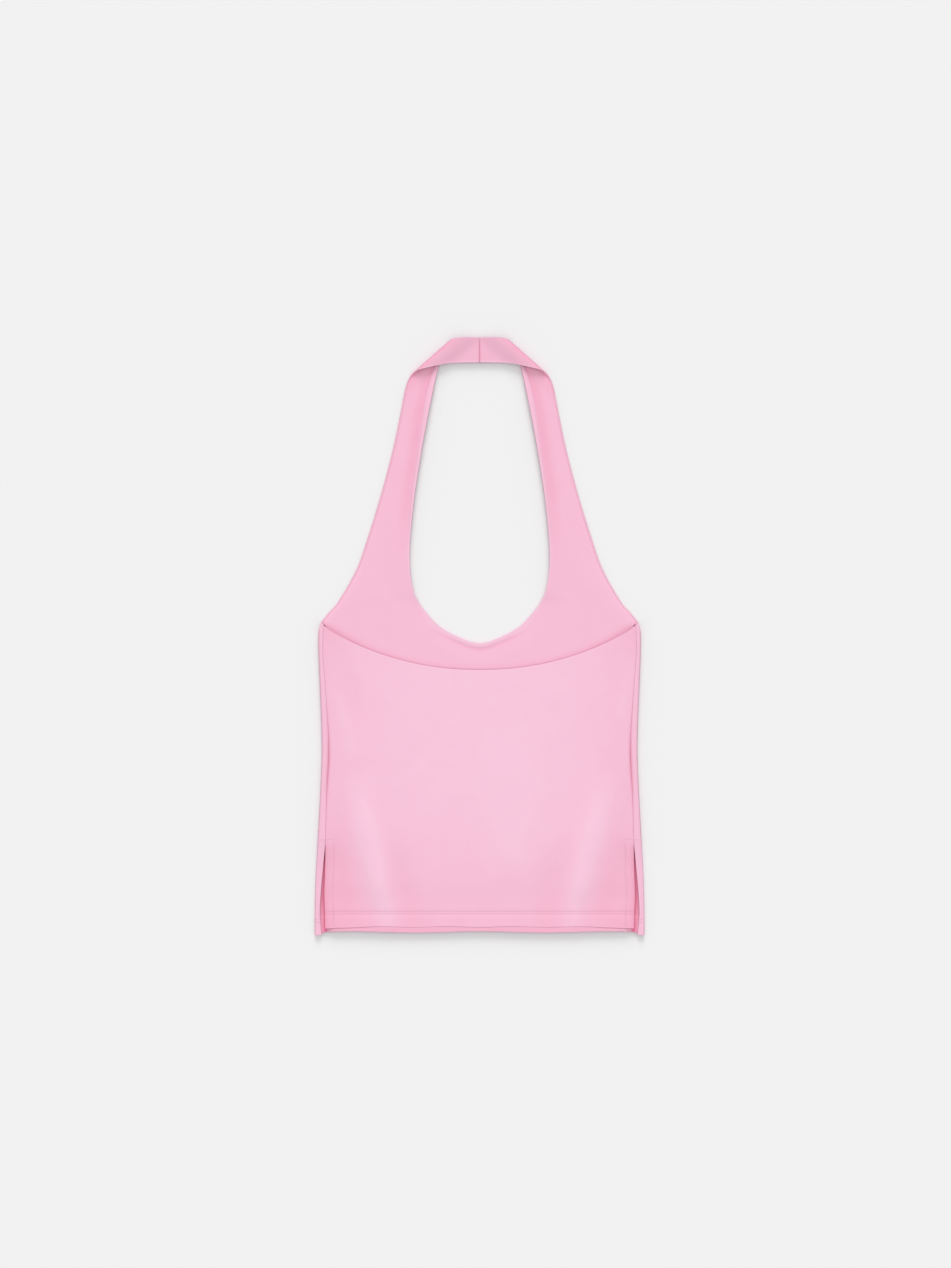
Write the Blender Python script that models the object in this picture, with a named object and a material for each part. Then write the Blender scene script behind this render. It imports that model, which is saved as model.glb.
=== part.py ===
"""A halter neck top in jersey, laid flat on its front with its back panel up.

It is cut and sewn from three pieces of cloth, and each is one solid here:

front         The front, with both halter straps cut in one. It turns over at each side on to the back,
              and each strap folds over at the neck, so that they meet in the centre back neck seam.
front_lining  The inner layer of the bust and the straps. It shows inside the neck opening.
back          The back panel, from side seam to side seam, with a scooped top edge, a hem and side slits.

All sizes are in millimetres, and turn into Blender's metres where a mesh is made. Seen from above, +X is
to the right, +Y is towards the neck and +Z is up from the table. The origin is on the table, in the
middle of the outline. A piece is drawn as its outer face, and Solidify gives it the thickness of the cloth.
"""

import math
from bisect import bisect_right
from collections import namedtuple

import bmesh
import bpy
from mathutils import Vector

MM = 0.001

# The cloth
CLOTH = 1.0  # one layer of the outer jersey
HEMMED = 1.4  # outer jersey turned up and stitched
ROLLED = 2.6  # outer jersey rolled round the neck seam
LIP = 1.8  # and round the armhole seam
LINING = 1.0
AIR = 0.3  # between pieces at a seam, and between layers that lie on each other
STEP = 0.3  # the width of the step from a turned edge down to a single layer

# The body, by height
HEM_Y = -332.2
BACK_HEM_Y = -326.3
HEM_DEPTH = 15.0
CORNER_DROP = 3.6  # the front's hem hangs this much lower where it turns over at the sides
CORNER_SHARE = 0.94  # and starts to drop at this share of its half width
HEM_CURL = 1.8  # both hems rise off the table by this much at the front's edge, and less at the sides
CURL_REACH = 45.0
CURL_POWER = 24.0
SLIT_TURNING = 14.0  # the cloth turned in along a slit
ARMPIT_Y = 15.5  # where the strap's edge meets the turned side
SIDE_TOP_Y = 6.0  # the turned side's top edge dips to here at the outline
SEAM_TOP_Y = 13.3  # and comes back up to here at the side seam
BACK_TOP_Y = -37.6  # the lowest point of the back's scooped top edge
SCOOP_RISE = 48.3  # from there up to the scoop's ends
SCOOP_POWER = 2.15
SCOOP_CORNER = 2.3  # which turn up by this much more
SCOOP_CORNER_POWER = 40.0
TURN_RADIUS = 2.6  # of the front's outer face, where it turns over at a side
SLIT_RADIUS = 1.7  # and beside the slit, where the layers lie flatter
SLIT_EASING = 45.0  # the change between them runs over this height
SLIT_ROWS = 4  # rows of faces from the hem's top to the slit's top
BODY_ROWS = 18  # and from there up
TURN_STEPS = 6

# Across a side of the body at a height: half the body's width, how far the front's flap and the back's
# edge lie in from the outline. Flap and back meet in the side seam, and part at the slit.
Side = namedtuple("Side", "height half_width flap back_edge")
SIDES = (
    Side(-335.8, 185.4, 4.9, 11.8),
    Side(-312.0, 185.2, 5.1, 11.2),
    Side(-289.0, 184.8, 5.9, 10.1),
    Side(-265.0, 184.0, 7.6, 10.2),
    Side(-236.0, 182.4, 8.8, 9.1),
    Side(-177.0, 179.2, 7.3, 7.6),
    Side(-126.0, 177.4, 7.8, 8.1),
    Side(-51.0, 179.8, 5.9, 6.2),
    Side(-15.0, 181.2, 4.8, 5.1),
    Side(15.5, 181.2, 5.8, 6.1),
)
SLIT_TOP = 4  # the row at the slit's top
SLIT_TOP_Y = SIDES[SLIT_TOP].height

# The neck fold of the right strap: the line where it starts to turn over, and its radius
FOLD_START = Vector((69.7, 296.1))
FOLD_ANGLE = math.radians(138.6)
FOLD_RADIUS = 3.6
FOLD_OUT = Vector((math.sin(FOLD_ANGLE), -math.cos(FOLD_ANGLE)))
BAND_SAG = 4.2  # past the fold, the band sinks this far towards the table
BAND_SAG_REACH = 24.0
BAND_TILT = 0.3  # the share of the sag that the band's neck edge is spared

# Sections across the right half of the bust and strap, from the centre front round to the centre back
# neck seam. Each runs from the neck edge to the armhole edge or, up to the armpit, to the level of the
# back's top edge. The last three lie past the neck fold and are placed as folded. roll is the width of
# the rolled neck edge, puff how far the lining stands off, and rows the sections to add before the next.
Section = namedtuple("Section", "neck_x neck_y arm_x arm_y roll puff folded rows")
SECTIONS = (
    Section(0.0, -7.7, 0.0, -37.6, 6.2, 0.0, False, 4),
    Section(24.0, -0.6, 62.0, -32.3, 6.2, 0.0, False, 3),
    Section(46.0, 12.0, 124.0, -14.6, 8.0, 0.0, False, 4),
    Section(64.0, 32.0, 178.6, 15.5, 3.6, 0.2, False, 2),
    Section(69.8, 41.5, 169.3, 26.8, 3.0, 0.3, False, 2),
    Section(74.0, 50.5, 158.5, 39.5, 2.8, 0.5, False, 2),
    Section(78.0, 74.0, 138.5, 75.0, 2.8, 0.7, False, 2),
    Section(78.2, 104.0, 126.0, 110.0, 3.0, 0.7, False, 3),
    Section(73.4, 154.0, 110.6, 160.0, 3.8, 0.7, False, 3),
    Section(64.8, 210.5, 97.0, 212.0, 4.4, 0.6, False, 3),
    Section(54.8, 264.0, 87.3, 259.0, 7.0, 0.4, False, 2),
    Section(46.5, 302.0, 84.2, 275.0, 9.0, 0.2, False, 2),
    Section(38.0, 323.5, 81.0, 286.1, 9.5, 0.0, False, 8),
    Section(25.5, 335.5, 65.0, 300.4, 9.5, 0.0, True, 5),
    Section(14.5, 336.0, 34.0, 305.9, 9.5, 0.0, True, 3),
    Section(0.15, 336.0, 0.15, 307.1, 9.5, 0.0, True, 0),
)
ARMPIT = 3  # the section that ends at the armpit
ARMHOLE_LIP = 1.8  # the width of the rolled armhole edge
LINING_INSET = 1.2  # from the rolled edges in to the lining
LINING_TAIL = 15.0  # the lining runs this far down under the back
FRONT_COLUMNS = 5
LINING_COLUMNS = 6
NECK_LIFT = 2.4  # the straps' neck edges stand this far off the table
LIFT_STARTS, LIFT_FULL = 2.7, 7.0  # at these sections
LIFT_FALLS, LIFT_ENDS = 9.8, 11.4
LIFT_REACH = 27.0  # from the neck edge

# The back panel
BACK_COLUMNS = 26
BACK_LEVEL = 4.2  # its outer face, above the table in the middle of the back
BACK_LOWEST = 2.7
BACK_HEM_LEVEL = 2.95
BACK_SCOOP_LEVEL = 3.8
RIM_WIDTH = 50.0
HEM_SIDE_Y = -230.0  # the rim's level changes from the hem's to the scoop's between these heights
SCOOP_SIDE_Y = -50.0

# Soft folds in the back panel: ridges, or troughs where the height is negative, from one end to the other
Fold = namedtuple("Fold", "start_x start_y end_x end_y width height")
FOLDS = (
    Fold(-144.0, -145.0, -101.5, -330.0, 12.0, 2.0),
    Fold(145.0, -145.0, 99.0, -330.0, 11.0, 1.8),
    Fold(-163.0, -170.0, -142.0, -320.0, 11.0, -0.9),
    Fold(164.0, -170.0, 134.0, -320.0, 13.0, -0.9),
    Fold(-99.0, -215.0, -74.0, -330.0, 14.0, -0.7),
    Fold(85.0, -225.0, 76.0, -330.0, 17.0, -0.7),
    Fold(-169.0, -34.0, -142.0, -134.0, 7.0, 0.7),
    Fold(174.0, -28.0, 156.0, -92.0, 6.0, 0.6),
    Fold(-155.0, -30.0, -135.0, -90.0, 9.0, -0.4),
    Fold(28.0, -80.0, 40.0, -265.0, 27.0, 0.7),
)

PINK = (0.93, 0.55, 0.70, 1.0)
INNER_PINK = (0.88, 0.50, 0.66, 1.0)
ROUGHNESS = 0.85


def clear_scene():
    for obj in list(bpy.data.objects):
        bpy.data.objects.remove(obj, do_unlink=True)


def eased(share):
    """0 to 1, starting and ending gently."""
    share = max(0.0, min(1.0, share))
    return share * share * (3.0 - 2.0 * share)


def smooth(knots, values, at, corner=None):
    """The value at one place on the smooth curve through the values, which may turn sharply at one knot."""
    last = len(knots) - 1
    i = max(0, min(last - 1, bisect_right(knots, at) - 1))
    span = knots[i + 1] - knots[i]
    t = (at - knots[i]) / span

    def rise(j):
        return (values[j + 1] - values[j]) / (knots[j + 1] - knots[j])

    def slope(j):
        return rise(i) if j in (0, last, corner) else (rise(j - 1) + rise(j)) / 2.0

    ease = eased(t)
    level = values[i] * (1.0 - ease) + values[i + 1] * ease
    return level + (slope(i) * (1.0 - t) - slope(i + 1) * t) * (span * t * (1.0 - t))


def side_at(height):
    """The body's side at a height, worked out from the table."""
    heights = [side.height for side in SIDES]
    at = max(heights[0], min(heights[-1], height))
    return Side(height, *(smooth(heights, column, at, SLIT_TOP) for column in list(zip(*SIDES))[1:]))


def turn_radius(height):
    """The radius of the front's turned side: less below the slit's top."""
    below = eased((SLIT_TOP_Y + SLIT_EASING / 3.0 - height) / SLIT_EASING)
    return TURN_RADIUS + (SLIT_RADIUS - TURN_RADIUS) * below


def unfolded(point):
    """Where a point of the folded strap end lies in the flat cut."""
    inside = -(point - FOLD_START).dot(FOLD_OUT)
    return point + FOLD_OUT * (2.0 * inside + math.pi * FOLD_RADIUS)


def laid(flat, inside=0.0, held=0.0):
    """A point of the flat cut as it lies, at a distance inside the front's outer face. held is the share of
    the band's sag that it is spared."""
    past = (flat - FOLD_START).dot(FOLD_OUT)
    if past <= 0.0:
        return Vector((flat.x, flat.y, inside))
    turn = min(past / FOLD_RADIUS, math.pi)
    beyond = past - turn * FOLD_RADIUS
    sinking = math.pi * min(beyond / BAND_SAG_REACH, 1.0)
    deepest = BAND_SAG * (1.0 - held)
    sag = deepest * (1.0 - math.cos(sinking)) / 2.0
    fall = deepest * math.sin(sinking) * math.pi / (2.0 * BAND_SAG_REACH)
    turned = turn + math.atan(fall)
    place = flat - FOLD_OUT * (past + beyond - FOLD_RADIUS * math.sin(turn) + inside * math.sin(turned))
    height = FOLD_RADIUS * (1.0 - math.cos(turn)) - sag + inside * math.cos(turned)
    return Vector((place.x, place.y, height))


def strap_sections():
    """Every section of the ribbon, given and added, as (neck end, arm end, roll, puff, its place)."""
    first = SECTIONS[1]
    across = first._replace(neck_x=-first.neck_x, arm_x=-first.arm_x)
    sections = (across,) + SECTIONS
    necks, arms = [], []
    for section in sections:
        ends = [Vector((section.neck_x, section.neck_y)), Vector((section.arm_x, section.arm_y))]
        neck, arm = map(unfolded, ends) if section.folded else ends
        necks.append(neck)
        arms.append(arm)
    knots = list(range(-1, len(SECTIONS)))
    places = [i + step / section.rows for i, section in enumerate(SECTIONS) for step in range(section.rows)]
    found = []
    for at in places + [knots[-1]]:
        neck = smooth(knots, necks, at)
        arm = smooth(knots, arms, at, corner=knots.index(ARMPIT))
        roll, puff = (smooth(knots, [getattr(s, name) for s in sections], at) for name in ("roll", "puff"))
        found.append((neck, arm, roll, puff, at))
    return found


def lift_at(at, along):
    """How far the front's outer face stands off the table, at a distance along a section from the neck."""
    rising = eased((at - LIFT_STARTS) / (LIFT_FULL - LIFT_STARTS))
    falling = eased((at - LIFT_FALLS) / (LIFT_ENDS - LIFT_FALLS))
    return NECK_LIFT * rising * (1.0 - falling) * (1.0 - eased(along / LIFT_REACH))


def sag_spared(share):
    """The share of the band's sag that a point is spared, at a share of its section from the neck edge."""
    return BAND_TILT * (1.0 - eased(share))


def curl_at(x, y):
    """How far the hems curl up off the table at a place."""
    aside = min(1.0, abs(x) / (SIDES[0].half_width - TURN_RADIUS))
    return HEM_CURL * (1.0 - aside**CURL_POWER) * (1.0 - eased((y - HEM_Y) / CURL_REACH))


def spread(start, end, count):
    return [start + (end - start) * step / count for step in range(count + 1)]


def row_heights(hem, top):
    """The heights of the rows of a body piece. Front and back share those beside the side seam."""
    hemmed = hem + HEM_DEPTH
    beside_slit = spread(hemmed + STEP, SLIT_TOP_Y, SLIT_ROWS)
    return [hem, hemmed] + beside_slit + spread(SLIT_TOP_Y, top, BODY_ROWS)[1:]


def turned_weight(thickness):
    """The weight that gives a thickness, from 0 for one layer of cloth to 1 for a rolled edge."""
    return (thickness - CLOTH) / (ROLLED - CLOTH)


def ribbon_grid():
    """The bust and strap of the front: sections of (point, weight) from the neck edge to the arm end."""
    grid = []
    for neck, arm, roll, _, at in strap_sections():
        length = (arm - neck).length
        if at >= ARMPIT:
            inner = spread(roll + STEP, length - ARMHOLE_LIP - STEP, FRONT_COLUMNS)
            inner += [length - ARMHOLE_LIP, length]
        else:
            inner = spread(roll + STEP, length, FRONT_COLUMNS + 2)
        lip = turned_weight(LIP) if at > ARMPIT else 0.0
        weights = [1.0] * 2 + [0.0] * (FRONT_COLUMNS + 1) + [lip] * 2
        places = [0.0, roll] + inner
        points = []
        for along in places:
            share = along / length
            points.append(laid(neck.lerp(arm, share), lift_at(at, along), sag_spared(share)))
        grid.append(list(zip(points, weights)))
    return grid


def turn_start(height):
    """How far from the middle the front starts to turn over at a side."""
    return side_at(height).half_width - turn_radius(height)


def body_point(share, height, beyond=None):
    """A point of the front below the bust. beyond is the angle turned past the side, or "seam"."""
    if beyond is None:
        x = share * turn_start(height)
        return Vector((x, height, curl_at(x, height)))
    if beyond == "seam":
        side = side_at(height)
        return Vector((side.half_width - side.flap, height, 2.0 * turn_radius(height)))
    radius = turn_radius(height)
    out, up = math.sin(beyond) * radius, (1.0 - math.cos(beyond)) * radius
    return Vector((turn_start(height) + out, height, up))


def body_grid(ribbon_ends):
    """The front below the bust and its turned sides: columns of (point, weight) from hem to top."""
    turns = [math.pi * step / TURN_STEPS for step in range(1, TURN_STEPS + 1)]
    dip = ARMPIT_Y - SIDE_TOP_Y
    columns = [(end.x / turn_start(end.y), end.y, None) for end in ribbon_ends]
    columns += [(1.0, ARMPIT_Y - dip * math.sin(turn), turn) for turn in turns]
    columns.append((1.0, SEAM_TOP_Y, "seam"))
    grid = []
    for share, top, turn in columns:
        drop = CORNER_DROP * eased((share - CORNER_SHARE) / (1.0 - CORNER_SHARE))
        heights = row_heights(HEM_Y - drop, top)
        weights = [turned_weight(HEMMED)] * 2 + [0.0] * (len(heights) - 2)
        grid.append([(body_point(share, y, turn), w) for y, w in zip(heights, weights)])
    return grid


def lining_grid():
    """The lining: sections from the neck edge to the armhole edge, or down under the back."""
    grid = []
    for neck, arm, roll, puff, at in strap_sections():
        on_strap = at >= ARMPIT
        if not on_strap:
            arm = arm - Vector((0.0, LINING_TAIL))
        length = (arm - neck).length
        end = length - ARMHOLE_LIP - LINING_INSET if on_strap else length
        points = []
        for along in spread(roll + LINING_INSET, end, LINING_COLUMNS):
            share = along / length
            lift = lift_at(at, along) + puff * math.sin(math.pi * share**1.3)
            point = laid(neck.lerp(arm, share), CLOTH + AIR + lift, sag_spared(share))
            points.append((point, 1.0))
        grid.append(points)
    return grid


def fold_height(x, y):
    """How far the soft folds lift the back panel at a place."""
    total = 0.0
    for fold in FOLDS:
        start, end = Vector((fold.start_x, fold.start_y)), Vector((fold.end_x, fold.end_y))
        line, place = end - start, Vector((x, y)) - start
        along = place.dot(line) / line.length_squared
        away = (place - line * max(0.0, min(1.0, along))).length / fold.width
        total += fold.height * math.exp(-away * away) * eased(min(2.2 * along, 4.5 - 4.0 * along))
    return total


def back_top(share):
    """The height of the back's scooped top edge, at a share of its half width."""
    share = abs(share)
    return BACK_TOP_Y + SCOOP_RISE * share**SCOOP_POWER + SCOOP_CORNER * share**SCOOP_CORNER_POWER


def rim_level(share, y):
    """The height of the back's rim: most at the sides, less along the hem and least in the scoop's middle."""
    scooped = eased((y - HEM_SIDE_Y) / (SCOOP_SIDE_Y - HEM_SIDE_Y))
    middle = BACK_HEM_LEVEL + (BACK_SCOOP_LEVEL - BACK_HEM_LEVEL) * scooped
    return middle + (2.0 * turn_radius(y) - middle) * share**4


def back_level(share, y, edge_x):
    """The height of the back panel's outer face: its middle with the folds, blended into its rim."""
    x = share * edge_x
    inside = 1.0
    for to_edge in (edge_x - abs(x), y - BACK_HEM_Y, back_top(share) - y):
        inside *= eased(to_edge / RIM_WIDTH)
    middle = max(BACK_LEVEL + fold_height(x, y), BACK_LOWEST)
    rim = rim_level(share, y)
    return rim + (middle - rim) * inside + curl_at(x, y)


def back_grid():
    """The back panel: columns of (point, weight) from the left side to the right, from hem to top."""
    turning = 1.0 - SLIT_TURNING / SIDES[0].half_width
    shares = [-1.0, -turning - STEP / SIDES[0].half_width] + spread(-turning, turning, BACK_COLUMNS)
    shares += [-share for share in shares[1::-1]]
    grid = []
    for share in shares:
        column = []
        for y in row_heights(BACK_HEM_Y, back_top(share)):
            side = side_at(y)
            edge_x = side.half_width - side.back_edge
            turned = y <= BACK_HEM_Y + HEM_DEPTH or (y < SLIT_TOP_Y and abs(share) > turning)
            point = Vector((share * edge_x, y, back_level(share, y, edge_x)))
            column.append((point, turned_weight(HEMMED) if turned else 0.0))
        grid.append(column)
    return grid


def add_grid(mesh, grid, flipped):
    """Adds the faces between the grid's rows to a bmesh, with each point's weight."""
    weight_layer = mesh.verts.layers.deform.verify()
    rows = []
    for row in grid:
        rows.append([])
        for point, weight in row:
            vert = mesh.verts.new(point * MM)
            vert[weight_layer][0] = weight
            rows[-1].append(vert)
    for first, second in zip(rows, rows[1:]):
        for j in range(len(first) - 1):
            corners = (first[j], first[j + 1], second[j + 1], second[j])
            mesh.faces.new(corners[::-1] if flipped else corners)


def jersey(name, colour):
    """The cloth's material."""
    material = bpy.data.materials.new(name)
    material.use_nodes = True
    shader = material.node_tree.nodes["Principled BSDF"]
    shader.inputs["Base Color"].default_value = colour
    shader.inputs["Roughness"].default_value = ROUGHNESS
    shader.inputs["Metallic"].default_value = 0.0
    return material


def cloth_piece(name, grids, thickness, thinnest, mirrored, colour):
    """One piece of cloth: its outer face from the grids, mirrored if it is half a piece, with its wall."""
    sheet = bmesh.new()
    for grid, flipped in grids:
        add_grid(sheet, grid, flipped)
    bmesh.ops.remove_doubles(sheet, verts=sheet.verts, dist=0.00001)
    data = bpy.data.meshes.new(name)
    sheet.to_mesh(data)
    sheet.free()
    data.shade_smooth()
    piece = bpy.data.objects.new(name, data)
    bpy.context.scene.collection.objects.link(piece)
    piece.vertex_groups.new(name="turned")
    data.materials.append(jersey(name + "_jersey", colour))
    if mirrored:
        mirror = piece.modifiers.new("other half", "MIRROR")
        mirror.merge_threshold = 0.0001
    wall = piece.modifiers.new("cloth", "SOLIDIFY")
    wall.thickness = thickness * MM
    wall.offset = -1.0
    wall.vertex_group = "turned"
    wall.thickness_vertex_group = thinnest / thickness
    return piece


def build():
    clear_scene()
    ribbon = ribbon_grid()
    armpit_row = sum(section.rows for section in SECTIONS[:ARMPIT])
    ribbon_ends = [row[-1][0] for row in ribbon[: armpit_row + 1]]
    front = [(ribbon, True), (body_grid(ribbon_ends), False)]
    cloth_piece("front", front, ROLLED, CLOTH, True, PINK)
    cloth_piece("front_lining", [(lining_grid(), True)], LINING, LINING, True, INNER_PINK)
    cloth_piece("back", [(back_grid(), True)], ROLLED, CLOTH, False, PINK)


build()
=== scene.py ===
"""The looks of a halter neck top in jersey, laid flat on its front: three pieces of cloth and stitching.

Laid out as an add-on, and run as a script. One operator makes each piece of cloth, one the stitching and one
the stage. Shapes are worked out as numpy arrays in millimetres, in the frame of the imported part: +X to the
right and +Y towards the neck as seen from above, +Z up from the table. A mesh is made in metres.
"""

import math
from collections import namedtuple

import bmesh
import bpy
import numpy as np
from bpy.props import FloatProperty, FloatVectorProperty, IntProperty, PointerProperty
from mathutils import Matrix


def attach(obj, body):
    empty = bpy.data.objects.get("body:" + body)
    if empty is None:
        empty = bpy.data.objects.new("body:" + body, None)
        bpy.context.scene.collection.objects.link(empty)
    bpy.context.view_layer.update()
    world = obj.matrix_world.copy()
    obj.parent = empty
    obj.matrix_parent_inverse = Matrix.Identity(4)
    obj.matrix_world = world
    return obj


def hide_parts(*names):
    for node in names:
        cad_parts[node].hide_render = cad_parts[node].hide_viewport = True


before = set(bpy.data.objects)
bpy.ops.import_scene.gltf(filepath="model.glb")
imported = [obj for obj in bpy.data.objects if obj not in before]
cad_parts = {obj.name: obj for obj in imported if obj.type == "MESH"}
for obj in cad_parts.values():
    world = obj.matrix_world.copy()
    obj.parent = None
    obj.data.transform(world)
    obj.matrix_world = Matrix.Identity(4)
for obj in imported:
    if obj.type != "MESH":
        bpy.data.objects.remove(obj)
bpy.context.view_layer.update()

bl_info = {
    "name": "Halter neck top",
    "version": (1, 0, 0),
    "blender": (4, 5, 0),
    "location": "View3D > Sidebar > Halter top",
    "description": "A jersey halter neck top, laid flat with its back up",
    "category": "Add Mesh",
}

MM = 0.001
MERGE = 0.00001  # metres: points of neighbouring patches this close are one point
FAR = 1000.0  # millimetres: the distance from an edge that a stretch of cloth doesn't have

# ---- the cut and the way it lies, in millimetres

HEM_Y = -332.2
BACK_HEM_Y = -326.3
HEM_DEPTH = 16.5
CORNER_DROP = 3.6  # the front's hem hangs this much lower where it turns over at the sides
CORNER_SHARE = 0.94  # and starts to drop at this share of its half width
HEM_WAVE = 0.75  # the front's hem edge waves this far up and down
HEM_WAVE_LENGTH = 147.0
BACK_HEM_WAVE = 0.45
BACK_HEM_WAVE_LENGTH = 74.0
BACK_CORNER_DROP = 2.2
HEM_CURL = 1.8  # both hems rise off the table by this much, and less at the sides
CURL_REACH = 45.0
CURL_POWER = 24.0
STRIP_ROLL = 1.35  # the front's hem is this much thicker below the back's
STRIP_ROLL_END = 162.0  # from the middle
SLIT_TURNING = 14.0
ARMPIT_Y = 15.5  # where the strap's edge meets the turned side
SIDE_TOP_Y = 6.0  # the turned side's top edge dips to here at the outline
SEAM_TOP_Y = 13.3  # and comes back up to here at the side seam
BACK_TOP_Y = -37.6
SCOOP_RISE = 48.3
SCOOP_POWER = 2.15
SCOOP_CORNER = 2.3  # the scoop's ends turn up by this much more
SCOOP_CORNER_POWER = 40.0
TURN_RADIUS = 2.6
SLIT_RADIUS = 1.7  # beside the slit, where the layers lie flatter
SLIT_EASING = 45.0
SLIT_END = 5.0  # over this height above a slit, its hem fades out

# A side of the body by height: half its width, and how far in from it the flap's and the back's edges lie
Side = namedtuple("Side", "height half_width flap back_edge")
SIDES = (
    Side(-335.8, 185.4, 7.8, 11.8),
    Side(-312.0, 185.2, 5.7, 11.2),
    Side(-289.0, 184.8, 6.3, 10.1),
    Side(-265.0, 184.0, 7.6, 10.2),
    Side(-236.0, 182.4, 8.8, 9.1),
    Side(-177.0, 179.2, 7.3, 7.6),
    Side(-126.0, 177.4, 7.8, 8.1),
    Side(-51.0, 179.8, 5.9, 6.2),
    Side(-15.0, 181.2, 4.8, 5.1),
    Side(15.5, 181.2, 5.8, 6.1),
)
SLIT_TOP = 4
SLIT_TOP_Y = SIDES[SLIT_TOP].height

# The neck fold of the right strap: where it starts to turn over, its direction and its radius
FOLD_START = np.array((69.7, 296.1))
FOLD_ANGLE = math.radians(138.6)
FOLD_RADIUS = 3.6
FOLD_OUT = np.array((math.sin(FOLD_ANGLE), -math.cos(FOLD_ANGLE)))
BAND_SAG = 3.6
BAND_SAG_REACH = 22.0
BAND_TILT = 0.1  # the share of the sag that the band's neck edge is spared
BAND_STARTS, BAND_EASING = 12.0, 0.6  # from this section on, the armhole lip gets thinner

# Sections across the right half of the bust and strap, from the centre front to the centre back neck seam
Section = namedtuple("Section", "neck_x neck_y arm_x arm_y roll puff rows")
SECTIONS = (
    Section(0.0, -7.7, 0.0, -37.6, 6.2, 0.0, 4),
    Section(24.0, -0.6, 62.0, -32.3, 6.2, 0.0, 3),
    Section(46.0, 12.0, 124.0, -14.6, 8.0, 0.0, 4),
    Section(64.0, 32.0, 178.6, 15.5, 3.6, 0.2, 2),
    Section(69.8, 41.5, 169.3, 26.8, 3.0, 0.3, 2),
    Section(74.0, 50.5, 158.5, 39.5, 2.8, 0.5, 2),
    Section(78.0, 74.0, 138.5, 75.0, 2.8, 0.7, 2),
    Section(78.2, 104.0, 126.0, 110.0, 3.0, 0.7, 3),
    Section(73.4, 154.0, 110.6, 160.0, 3.8, 0.7, 3),
    Section(64.8, 210.5, 97.0, 212.0, 4.4, 0.6, 3),
    Section(54.8, 264.0, 87.3, 259.0, 7.0, 0.4, 2),
    Section(46.5, 302.0, 84.2, 275.0, 9.0, 0.2, 2),
    Section(38.0, 323.5, 81.0, 286.1, 9.5, 0.0, 8),
    Section(25.5, 335.5, 65.0, 300.4, 9.5, 0.0, 5),
    Section(14.5, 336.0, 34.0, 306.8, 9.5, 0.0, 3),
    Section(0.05, 336.0, 0.05, 308.0, 9.5, 0.0, 0),
)
ARMPIT = 3
FOLDED_FROM = 13
LAST = len(SECTIONS) - 1
ARMHOLE_LIP = 1.8
LINING_TAIL = 15.0
NECK_LIFT = 2.4  # the straps' neck edges stand this far off the table
LIFT_STARTS, LIFT_FULL = 2.7, 7.0  # at these sections
LIFT_FALLS, LIFT_ENDS = 9.8, 11.4
LIFT_REACH = 27.0  # from the neck edge

# The back panel's level over the table: in its middle, at its lowest and round its rim
BACK_LEVEL = 4.2
BACK_LOWEST = 2.7
BACK_HEM_LEVEL = 2.95
BACK_SCOOP_LEVEL = 3.8
RIM_WIDTH = 50.0
SCOOP_SIDE_Y = -50.0  # the rim's level changes from the hem's to the scoop's between these heights
HEM_SIDE_Y = -230.0

# Where the back's hem sinks on to the front: how far from the middle, how wide and how deep
HEM_CONTACT_X = 63.0
HEM_CONTACT_WIDTH = 13.0
HEM_CONTACT = 0.25
HEM_CONTACT_REACH = 30.0

# The side seam sinks in, most in the middle of its height
SEAM_DIP = 0.05
SEAM_CLOSED = 0.13  # above the slit, both edges are this much nearer to the seam
SEAM_DEEPER = 0.9
SEAM_DEEPEST_Y = -142.0
SEAM_DEEP_REACH = 45.0
SEAM_WIDTH = 1.6

# Painted shade: how deep the colour is made in the side seam, on the turned sides, in the slits, on the
# front hem's strip below the back's hem and at the straps' outer edges
SEAM_SHADE = 0.4
FLAP_SHADE = 0.12
SLIT_SHADE = 1.0
STRIP_SHADE = 0.29
LIP_SHADE = 0.3

# Soft folds in the back panel: ridges, or troughs where the height is negative
Fold = namedtuple("Fold", "start_x start_y end_x end_y width height")
FOLDS = (
    Fold(-144.0, -145.0, -102.5, -330.0, 13.5, 2.0),
    Fold(146.5, -145.0, 101.5, -330.0, 13.5, 1.8),
    Fold(-165.0, -170.0, -145.0, -320.0, 11.0, -0.7),
    Fold(166.0, -170.0, 138.0, -320.0, 12.0, -0.6),
    Fold(-99.0, -215.0, -74.0, -330.0, 14.0, -0.7),
    Fold(85.0, -225.0, 76.0, -330.0, 17.0, -0.7),
    Fold(-169.0, -34.0, -142.0, -134.0, 7.0, 0.7),
    Fold(174.0, -28.0, 156.0, -92.0, 6.0, 0.6),
    Fold(-155.0, -30.0, -135.0, -90.0, 9.0, -0.4),
    Fold(28.0, -80.0, 40.0, -265.0, 27.0, 0.7),
)

UNDER_FOLD = 0.22  # the front's share of the back's ridges, off the table

# Between these sections the crease beside the rolled neck edge fades, and comes back
CREASE_FADES, CREASE_LOST = 0.2, 2.1
NECKLINE_CREASE = 0.4  # its share of the straps' crease
CREASE_STARTS, CREASE_FULL = 6.5, 7.8
ROLL_UNDER = 0.25  # the lining's edge lies this far over the roll
CREASE_LEVEL = 1.8  # the height of its bottom inside the front's outer face
FLUSH_LEVEL = 2.05  # and of both sides of it where it is lost
LINING_RISE = 0.55  # from the crease up to the middle of the lining
LINING_RISE_REACH = 18.0
LINING_DIP = 0.45  # the lining goes down this much under the back's edge
LINING_DIP_WIDTH = 1.5

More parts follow.
